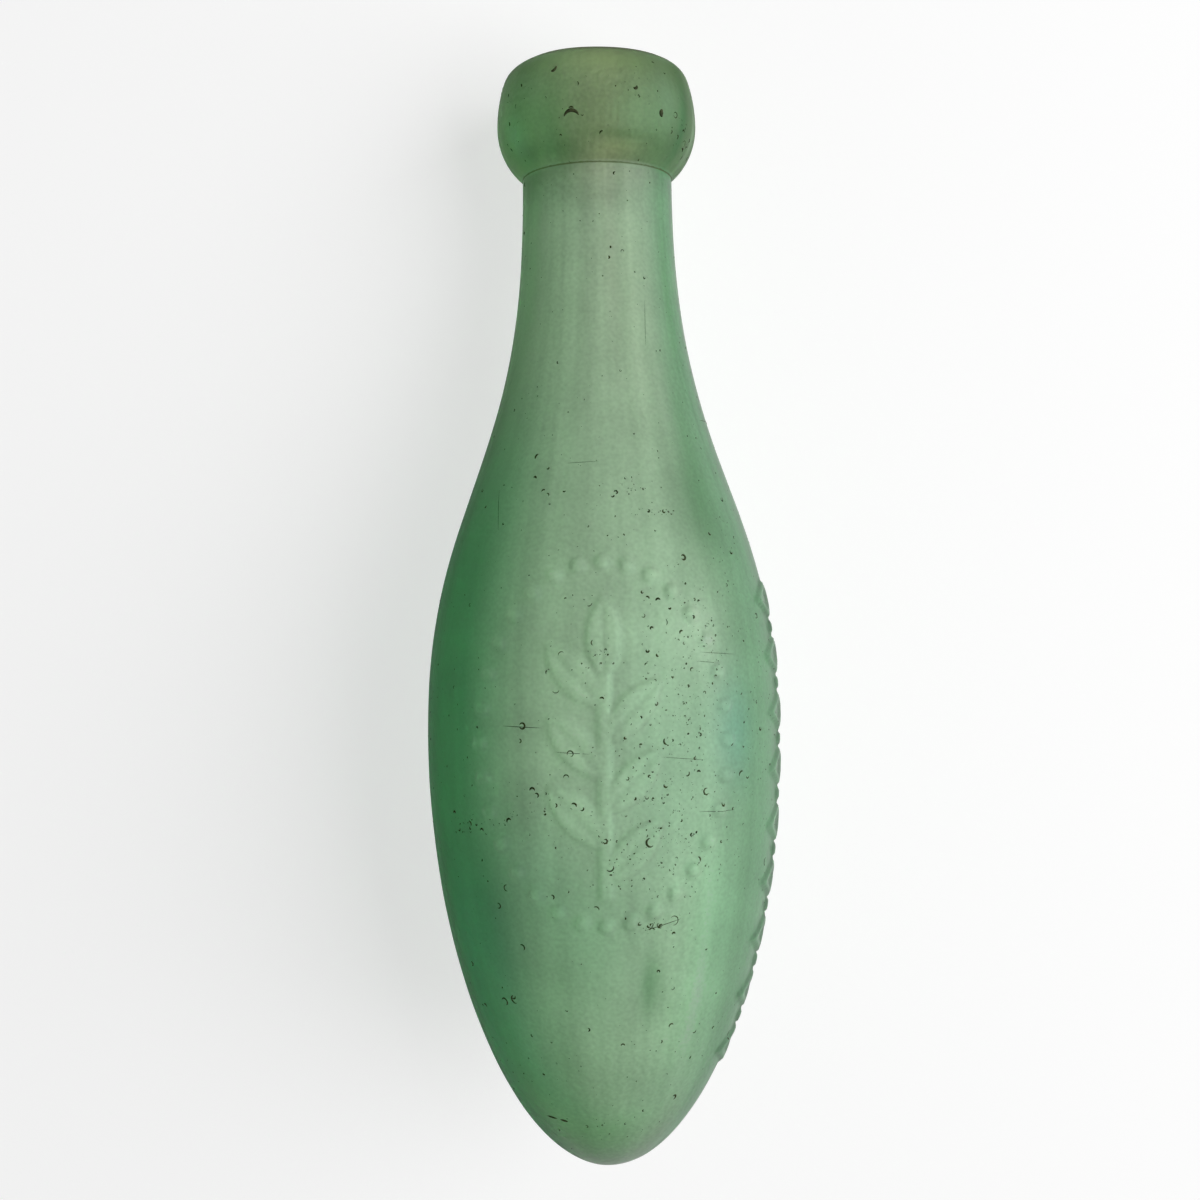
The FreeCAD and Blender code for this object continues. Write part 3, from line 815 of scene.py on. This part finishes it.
# %% [markdown]
# ## Hazed green glass
# The glass is clear in itself: its green comes from how far light travels through it, so the edges,
# where the way is long, go deep, and the middle stays pale. Years in the ground have etched the skin,
# which blurs what is behind it and gives it a bloom. It could be one clear glass under a separate film,
# but one shader that lets most light through and scatters the rest costs less and looks the same.
# Where the skin is matt, on the far left and on the lip's sides and shoulder, it mirrors less of the table.

# %% Glass material
GRAIN_TO_THE_METRE = 1500.0
RIPPLES_TO_THE_METRE, RIPPLE_HEIGHT = 850.0, 0.00022
GRAIN_SPREAD, MATT_GRAIN_SPREAD = 0.34, 0.12
SKIN_ROUGHNESS, MATT_ROUGHNESS, GRAIN_ROUGHNESS = 0.33, 0.58, 0.1
SEAM_WIDTH, SEAM_UNEVENNESS, SEAM_STRENGTH = 0.0001, 0.0002, 0.85
DIRT_IN_SEAM = (0.16, 0.12, 0.05, 1.0)
DEEP_GREEN, GREEN_DENSITY = (0.10, 0.62, 0.16, 1.0), 60.0


def own_place(paint):
    """Object coordinates in metres, turned onto the bottle: right, along from the tip, out of the front."""
    return paint.node(
        "Mapping",
        {"vector_type": "TEXTURE"},
        Vector=paint.node("TexCoord", output=3),
        Location=tuple(TIP),
        Rotation=(-axis_drop, 0, 0),
    )


def glass_material():
    """Tint and mattness come from the mesh, with fine grain over both and dirt in the lip's seam."""
    paint = Material("hazed_green_glass")
    place = own_place(paint)
    along = paint.node("SeparateXYZ", output=1, Vector=place)
    # the tint holds painted shade on the left flank and right rim, and a painted highlight and shade on the
    # ornament
    tint = paint.node("Attribute", {"attribute_name": "tint"})
    matt = paint.node("Attribute", {"attribute_name": "matt"}, output=2)

    grain = paint.noise(place, GRAIN_TO_THE_METRE)
    spread = GRAIN_SPREAD - matt * (GRAIN_SPREAD - MATT_GRAIN_SPREAD)
    etched = paint.node("VectorMath", {"operation": "SCALE"}, Vector=tint, Scale=(grain - 0.5) * spread + 1)

    seam = (along - NECK_TOP * MM).absolute()
    dirt = (1 - (seam / (grain * SEAM_UNEVENNESS + SEAM_WIDTH)).step(0.4, 1.0)) * SEAM_STRENGTH
    dirty = paint.mix(dirt, etched, DIRT_IN_SEAM)

    ripples = paint.noise(place, RIPPLES_TO_THE_METRE)
    bump = paint.node("Bump", Strength=0.5, Distance=RIPPLE_HEIGHT, Height=ripples)
    shader = paint.node(
        "BsdfPrincipled",
        Base_Color=dirty,
        Roughness=grain * GRAIN_ROUGHNESS + SKIN_ROUGHNESS + matt * (MATT_ROUGHNESS - SKIN_ROUGHNESS),
        Normal=bump,
        IOR=1.42,
        Specular_IOR_Level=0.05,
        Specular_Tint=(0.3, 0.7, 0.4, 1.0),
        Transmission_Weight=0.78,
    )
    absorb = paint.node("VolumeAbsorption", Color=DEEP_GREEN, Density=GREEN_DENSITY)
    return paint.finish(shader, absorb)


bottle_mesh.materials.append(glass_material())
print("the glass material has", len(bottle_mesh.materials[0].node_tree.nodes), "nodes")

# %% [markdown]
# ## Open bubbles and dirt
# Bubbles in the glass were drawn out as it was worked, and those at the skin wore open. Soil packed into
# them shows as dark commas, rings and dots. Each mark is a thin closed spindle laid on the skin along
# a short arc: four corners at each station, and a small cap at both ends. Marks that can be told apart
# in the photograph have their own place; the rest are drawn at random.

# %% Marks that have their own place
# each row: picture pixel, the arc's bend in mm, half length in radians, half width, heading in degrees
CRESCENTS = (
    (571, 112, 1.55, 1.25, 0.36, 90), (571, 107, 0.7, 0.8, 0.18, 90), (554, 69, 0.9, 0.9, 0.32, -50),
    (662, 113, 1, 0.8, 0.52, 180), (676, 115, 0.55, 2.9, 0.1, 0), (578, 83, 0.6, 0.8, 0.12, 10),
    (636, 87, 0.4, 1.6, 0.3, -60), (601, 132, 0.5, 1, 0.16, 130), (521, 85, 0.5, 0.8, 0.22, 20),
    (508, 95, 0.4, 0.8, 0.2, 0), (509, 124, 0.5, 0.9, 0.2, 0), (515, 106, 0.5, 1.2, 0.07, 160),
    (653, 62, 0.4, 0.9, 0.12, 80), (685, 143, 0.6, 1.8, 0.08, 60), (682, 158, 0.6, 0.7, 0.1, 0),
    (609, 257, 0.25, 1.6, 0.18, 0), (684, 557, 0.45, 2.6, 0.22, 0), (522, 726, 0.55, 2.9, 0.2, 0),
    (571, 753, 0.55, 2.5, 0.12, 60), (611, 869, 0.7, 1.5, 0.14, -60), (536, 456, 0.6, 1, 0.22, 150),
    (535, 477, 0.4, 1.2, 0.2, 70), (543, 490, 0.4, 1.2, 0.16, 110), (548, 494, 0.4, 1.2, 0.12, 40),
    (564, 491, 0.3, 1.2, 0.14, -90), (590, 605, 0.6, 1, 0.1, -60), (648, 597, 0.35, 1.4, 0.16, 60),
    (658, 599, 0.45, 1.4, 0.2, 100), (667, 622, 0.8, 0.8, 0.09, 0), (592, 643, 0.6, 1, 0.11, 180),
    (561, 653, 0.6, 1.2, 0.09, 120), (547, 671, 0.6, 1.2, 0.12, 140), (556, 692, 0.7, 1.2, 0.09, -80),
    (602, 698, 0.4, 1.2, 0.16, 80), (505, 1001, 0.7, 2, 0.18, 40), (514, 998, 0.5, 1.4, 0.16, -60),
    (499, 906, 0.5, 2, 0.14, 0), (566, 776, 0.5, 1.6, 0.12, 90), (728, 1035, 0.9, 1.2, 0.14, 180),
    (748, 985, 0.9, 1, 0.14, 0), (766, 862, 0.8, 1.4, 0.14, 180), (532, 789, 0.5, 1.6, 0.2, 90),
    (537, 795, 0.4, 1.8, 0.16, 30), (557, 805, 0.35, 1.5, 0.14, 0), (575, 804, 0.5, 1.4, 0.18, 60),
    (583, 809, 0.35, 1.6, 0.14, -40), (508, 820, 0.5, 1.6, 0.2, 120), (520, 741, 0.35, 1.8, 0.14, 0),
    (454, 812, 0.45, 1.4, 0.2, 90), (470, 823, 0.5, 1.4, 0.2, 30), (459, 830, 0.35, 1.6, 0.14, -60),
    (648, 843, 0.8, 1.8, 0.2, 200), (700, 860, 0.6, 1.6, 0.16, 0), (514, 410, 0.2, 2, 0.12, 0),
    (523, 947, 0.6, 1.5, 0.16, 30), (472, 964, 0.4, 1.8, 0.16, 0), (485, 1005, 0.5, 1.2, 0.18, 60),
    (513, 1000, 0.8, 1.6, 0.2, 200), (553, 897, 0.4, 1.6, 0.15, 20), (597, 908, 0.6, 1.2, 0.12, 60),
    (505, 888, 0.6, 1.8, 0.12, 180), (589, 1030, 0.3, 1.8, 0.14, 0), (623, 1045, 0.35, 1.6, 0.14, 90),
    (662, 1042, 0.3, 1.4, 0.14, 0), (671, 1025, 0.45, 1.6, 0.16, 120), (675, 1097, 0.5, 1.8, 0.22, 30),
    (695, 1032, 0.4, 1.4, 0.12, -60), (559, 1130, 0.3, 1.8, 0.12, 0), (652, 929, 0.6, 1.2, 0.14, 90),
    (676, 920, 0.9, 2, 0.1, 20), (488, 88, 0.35, 1.6, 0.12, 0), (496, 93, 0.3, 1.4, 0.12, 180),
    (678, 137, 0.35, 1.6, 0.16, 20), (684, 131, 0.4, 1.6, 0.14, 90), (690, 141, 0.35, 1.4, 0.16, 0),
    (683, 150, 0.4, 1.6, 0.18, 60), (672, 132, 0.3, 1.6, 0.12, 0),
)
# each row: the picture pixels a scratch or row of pits runs from and to, and its half width
SCRATCHES = (
    (503, 726, 541, 728, 0.07), (555, 752, 590, 754, 0.05), (700, 652, 735, 654, 0.04),
    (697, 661, 722, 663, 0.04), (700, 420, 724, 422, 0.05), (645, 300, 646, 345, 0.04),
    (700, 812, 736, 810, 0.05), (566, 463, 598, 461, 0.04), (499, 490, 498, 530, 0.06),
    (661, 757, 706, 760, 0.04), (547, 1116, 557, 1119, 0.24), (560, 1120, 568, 1122, 0.26),
    (645, 931, 681, 919, 0.07),
)
# each row: picture pixel, how many pits, and how far they spread across and along in pixels
CLUSTERS = (
    (655, 512, 26, 14, 2.5), (632, 488, 18, 10, 5), (655, 926, 34, 11, 5),
    (548, 812, 30, 12, 16), (468, 826, 24, 10, 6), (505, 820, 14, 8, 6),
    (596, 678, 22, 9, 14), (606, 655, 16, 8, 5), (690, 690, 260, 24, 60),
    (670, 790, 300, 34, 50), (650, 860, 130, 40, 26), (730, 560, 34, 6, 50),
    (757, 700, 60, 9, 90), (700, 615, 40, 16, 18), (605, 560, 20, 40, 40),
    (535, 1080, 30, 22, 20), (610, 1125, 26, 30, 10), (512, 130, 24, 10, 20),
    (645, 90, 18, 22, 16), (686, 145, 14, 5, 12),
)
LOOSE_PITS = 1700
CLEAR_OF_ENDS = 3.0
RIDGE, KEEL = 0.3, -1.2
ARC_STATIONS, SCRATCH_STATIONS, PIT_STATIONS = 16, 12, 6
PIT_BEND, PIT_BEND_SPREAD = 0.085, 0.65
print("marks with their own place:", len(CRESCENTS) + len(SCRATCHES), "clusters:", len(CLUSTERS))


# %% Spindles on the skin
def skin(turn, height, lift):
    """Points on the dressed outside, lifted along the outline's normal, in the bottle's own axes."""
    radius = np.interp(height, outside_height, outside_radius)
    normal = normals_of(full_lip)
    out_part = np.interp(height, outside_height, normal[:, 0])
    along_part = np.interp(height, outside_height, normal[:, 1])
    away = push(turn, radius, height) + lift
    radius = radius + away * out_part
    return np.stack([radius * np.sin(turn), radius * np.cos(turn), height + away * along_part], axis=-1)


def spindles(turn, height, path_across, path_along, half_width):
    """Closed spindles: one row of each array is one mark, and its columns are the stations of its path.

    The sides of the spindle lie level with the skin, its ridge stands a little proud and its keel is sunk.
    """
    marks, stations = path_across.shape
    head = np.gradient(path_across, axis=1), np.gradient(path_along, axis=1)
    size = np.maximum(np.hypot(*head), 1e-9)
    side_across, side_along = head[1] / size, -head[0] / size
    radius = np.interp(height, outside_height, outside_radius)[:, None, None]
    corners = np.array([[-1, 0, 1, 0], [0, RIDGE, 0, KEEL]])
    wide = half_width[..., None] * corners[0]
    lift = np.maximum(half_width, 0.02)[..., None] * corners[1] + 0.01
    across = path_across[..., None] + side_across[..., None] * wide
    along = path_along[..., None] + side_along[..., None] * wide
    place = skin(turn[:, None, None] + across / radius, height[:, None, None] + along, lift)

    each = stations * 4
    first = np.arange(marks)[:, None, None] * each
    ring = np.arange(stations - 1)[None, :, None] * 4 + np.arange(4)[None, None, :]
    ahead = np.arange(stations - 1)[None, :, None] * 4 + (np.arange(4)[None, None, :] + 1) % 4
    quads = np.stack([ring, ahead, ahead + 4, ring + 4], axis=-1) + first[..., None]
    quads = quads.reshape(-1, 4)
    caps = np.vstack([[0, 3, 2, 1], np.arange(4) + each - 4])
    quads = np.vstack([quads, (first + caps[None]).reshape(-1, 4)])
    return place.reshape(-1, 3), quads


def arcs(bend, half_angle, heading, stations):
    """Paths along short arcs, measured from each arc's own centroid.

    The bend is the arc's radius and the heading is where its middle lies. The centroid is the sine of the
    half angle over the half angle, times the bend, from the arc's centre.
    """
    angle = heading[:, None] + half_angle[:, None] * np.linspace(-1, 1, stations)
    balance = np.sin(half_angle) / half_angle
    across = bend[:, None] * (np.cos(angle) - (balance * np.cos(heading))[:, None])
    along = bend[:, None] * (np.sin(angle) - (balance * np.sin(heading))[:, None])
    return across, along


def tapered(half_width, stations):
    """Half widths that are full in the middle of a path and thin at both ends."""
    return half_width[:, None] * (1 - 0.85 * np.abs(np.linspace(-1, 1, stations)) ** 2.5)


def placed_crescents():
    """The short arcs of open bubbles, each at its own pixel."""
    turn, height = on_bottle([crescent[:2] for crescent in CRESCENTS])
    bend, half_angle, width, heading = np.array([crescent[2:] for crescent in CRESCENTS], float).T
    across, along = arcs(bend, half_angle, np.radians(heading), ARC_STATIONS)
    return spindles(turn, height, across, along, tapered(width, ARC_STATIONS))


def placed_scratches():
    """Straight paths over the unrolled skin, each between two pixels."""
    start = on_bottle([scratch[:2] for scratch in SCRATCHES])
    end = on_bottle([scratch[2:4] for scratch in SCRATCHES])
    radius = np.interp(start[1], outside_height, outside_radius)
    share = np.linspace(0, 1, SCRATCH_STATIONS)[None, :]
    across = ((end[0] - start[0]) * radius)[:, None] * share
    along = (end[1] - start[1])[:, None] * share
    width = np.array([scratch[4] for scratch in SCRATCHES])
    return spindles(start[0], start[1], across, along, tapered(width, SCRATCH_STATIONS))


def small_pits(turn, height):
    """Commas and dots with sizes drawn at random: many tiny ones and a few that show.

    All keep clear of the point and the mouth's edge.
    """
    height = np.clip(height, CLEAR_OF_ENDS, LENGTH - CLEAR_OF_ENDS)
    count = len(turn)
    bend = PIT_BEND * np.exp(rng.normal(0, PIT_BEND_SPREAD, count))
    half_angle = rng.uniform(0.5, 2.6, count)
    width = np.clip(bend * rng.uniform(0.25, 0.85, count), 0.03, 0.19)
    across, along = arcs(bend, half_angle, rng.uniform(0, 2 * math.pi, count), PIT_STATIONS)
    return spindles(turn, height, across, along, tapered(width, PIT_STATIONS))


def cluster_pits():
    """Bell-shaped clusters of pits round named places in the picture."""
    pixels = [
        np.array((x, y)) + rng.normal(0, 1, (count, 2)) * (across, along)
        for x, y, count, across, along in CLUSTERS
    ]
    return small_pits(*on_bottle(np.vstack(pixels)))


def loose_pits():
    """Pits spread evenly over the skin: the chance of a height is in step with the radius there."""
    height = rng.uniform(CLEAR_OF_ENDS, LENGTH - CLEAR_OF_ENDS, 4 * LOOSE_PITS)
    radius = np.interp(height, outside_height, outside_radius)
    height = height[rng.uniform(0, GIRTH_RADIUS, len(height)) < radius][:LOOSE_PITS]
    return small_pits(rng.uniform(-math.pi, math.pi, len(height)), height)


def dirt_material():
    """Dry soil: dark olive brown and matt, a little uneven."""
    paint = Material("soil_in_pits")
    tone = paint.noise(own_place(paint), 700.0, 2.0)
    colour = paint.mix(tone.step(0.3, 0.7), (0.020, 0.030, 0.010, 1.0), (0.060, 0.070, 0.030, 1.0))
    soil = paint.node("BsdfPrincipled", Base_Color=colour, Roughness=0.8, Specular_IOR_Level=0.2)
    return paint.finish(soil)


def make_dirt():
    """All the marks in one mesh, each kind's faces counted on from the corners before it."""
    parts = [placed_crescents(), placed_scratches(), cluster_pits(), loose_pits()]
    starts = np.cumsum([0] + [len(part[0]) for part in parts])
    corners = in_frame(np.vstack([part[0] for part in parts]))
    quads = np.vstack([part[1] + start for part, start in zip(parts, starts)])
    mesh = make_mesh("soil_in_pits", corners, quads, np.empty((0, 3), int))
    mesh.materials.append(dirt_material())
    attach(add_object("soil_in_pits", mesh), "root")
    print("soil, mm3:", round(signed_volume(mesh) * 1e9, 2), "triangles:", len(mesh.loop_triangles))


make_dirt()

# %% [markdown]
# ## The table and the light
# A plain pale table and soft light: one large lamp high on the right, and a weak sky that is stronger on
# that side. The table is grey to the lamp, so that little light comes back from it, and white to the eye,
# with the bottle's shadow on it. Further out, where the lamp falls off, its own white makes up for it.

# %% Table
TABLE_HALF = 4.0
TABLE_GREY = 0.38
TABLE_WHITE = 0.68
WHITE_FROM, WHITE_AT = 0.4, 1.6


def table_material():
    """Pale grey to the lamps; to the eye, a mirror and glass it is the same grey with white light added."""
    paint = Material("pale_table")
    plain = paint.node("BsdfDiffuse", Color=(TABLE_GREY, TABLE_GREY, TABLE_GREY, 1.0))
    rays = paint.node("LightPath") + paint.node("LightPath", output=3) + paint.node("LightPath", output=6)
    away = paint.node("VectorMath", {"operation": "LENGTH"}, 1, Vector=paint.node("TexCoord", output=3))
    near_white = (TABLE_WHITE, TABLE_WHITE, TABLE_WHITE, 1.0)
    white = paint.mix(away.step(WHITE_FROM, WHITE_AT), near_white, (1.0, 1.0, 1.0, 1.0))
    glow = paint.node("Emission", Color=white, Strength=rays.clamp())
    both = paint.tree.nodes.new("ShaderNodeAddShader")
    plug(paint.tree, both.inputs[0], plain)
    plug(paint.tree, both.inputs[1], glow)
    return paint.finish(Socket(paint.tree, both.outputs[0]))


def make_table():
    """One square, level with the frame's floor."""
    mesh = bpy.data.meshes.new("table")
    corners = [(x * TABLE_HALF, y * TABLE_HALF, 0) for x, y in ((-1, -1), (1, -1), (1, 1), (-1, 1))]
    mesh.from_pydata(corners, [], [(0, 1, 2, 3)])
    mesh.materials.append(table_material())
    add_object("table", mesh)


make_table()
print("table, m:", 2 * TABLE_HALF, "white from", WHITE_AT, "m out")

# %% Lamp
bottle_middle = Vector((0, 0, 0.04))


def lamp(name, place, size, power):
    """A square area lamp that faces the bottle's middle."""
    data = bpy.data.lights.new(name, "AREA")
    data.shape = "SQUARE"
    data.size = size
    data.energy = power
    light = add_object(name, data)
    light.location = place
    light.rotation_mode = "QUATERNION"
    light.rotation_quaternion = (bottle_middle - Vector(place)).to_track_quat("-Z", "Y")
    print(name, "stands", round((bottle_middle - Vector(place)).length, 2), "m away")


lamp("lamp_right", (0.95, 0.15, 0.9), 1.3, 22.0)


# %% Sky
SKY_LEFT, SKY_RIGHT = 0.006, 0.044


def make_sky():
    """Soft light that is stronger from the right; to the eye, a mirror and glass the sky is plain white."""
    sky = bpy.data.worlds.new("soft_sky")
    sky.use_nodes = True
    tree = sky.node_tree
    across = tree.nodes.new("ShaderNodeSeparateXYZ")
    tree.links.new(tree.nodes.new("ShaderNodeTexCoord").outputs["Generated"], across.inputs[0])
    rays = tree.nodes.new("ShaderNodeLightPath").outputs
    names = ("Is Camera Ray", "Is Glossy Ray", "Is Transmission Ray")
    camera_ray, glossy_ray, through_ray = (Socket(tree, rays[name]) for name in names)
    seen = (camera_ray + glossy_ray + through_ray).clamp()
    light = Socket(tree, across.outputs[0]).step(-0.8, 0.8) * (SKY_RIGHT - SKY_LEFT) + SKY_LEFT
    tree.nodes["Background"].inputs["Color"].default_value = (1, 1, 1, 1)
    plug(tree, tree.nodes["Background"].inputs["Strength"], seen + (1 - seen) * light)
    bpy.context.scene.world = sky


make_sky()
print("sky's light from left to right:", SKY_LEFT, "to", SKY_RIGHT)
bpy.context.scene.view_settings.view_transform = "Standard"
